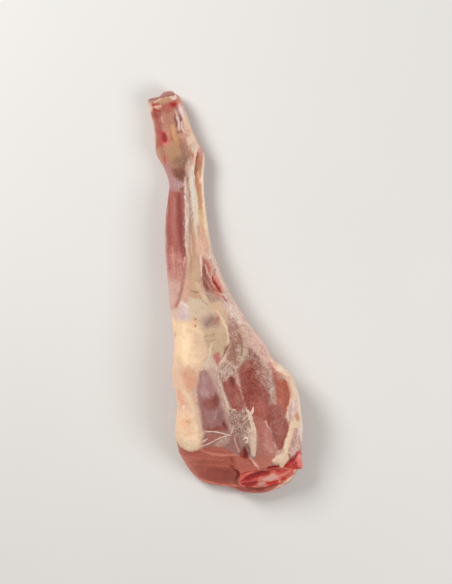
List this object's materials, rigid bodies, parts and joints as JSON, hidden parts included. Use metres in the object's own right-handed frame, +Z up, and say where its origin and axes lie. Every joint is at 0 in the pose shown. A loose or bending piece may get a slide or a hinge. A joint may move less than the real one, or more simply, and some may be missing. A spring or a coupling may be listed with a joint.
{
  "type": "raw leg of lamb",
  "caption": "Raw leg of lamb, bone in, lying on its outer side: thigh with a slanting rump cut and sawn hip bone, long shank and hock",
  "frame": {"origin": "on the table, under the middle of the leg's box", "axes": "+Y along the leg from the cut rump to the hock, +X to the back of the leg where the Achilles tendon is, +Z up, out of the leg's inner side"},
  "size_m": [0.1404, 0.456, 0.0808],
  "materials": {
    "flesh": "moist lean red flesh with pale fat, silverskin and sinew",
    "hip_bone": "sawn bone with red marrow and a pale rim",
    "hock_bone": "smooth joint end with pinkish gristle"
  },
  "bodies": {
    "root": {"leg_meat": "flesh", "hip_bone": "hip_bone", "hock_bone": "hock_bone"}
  },
  "joints": []
}
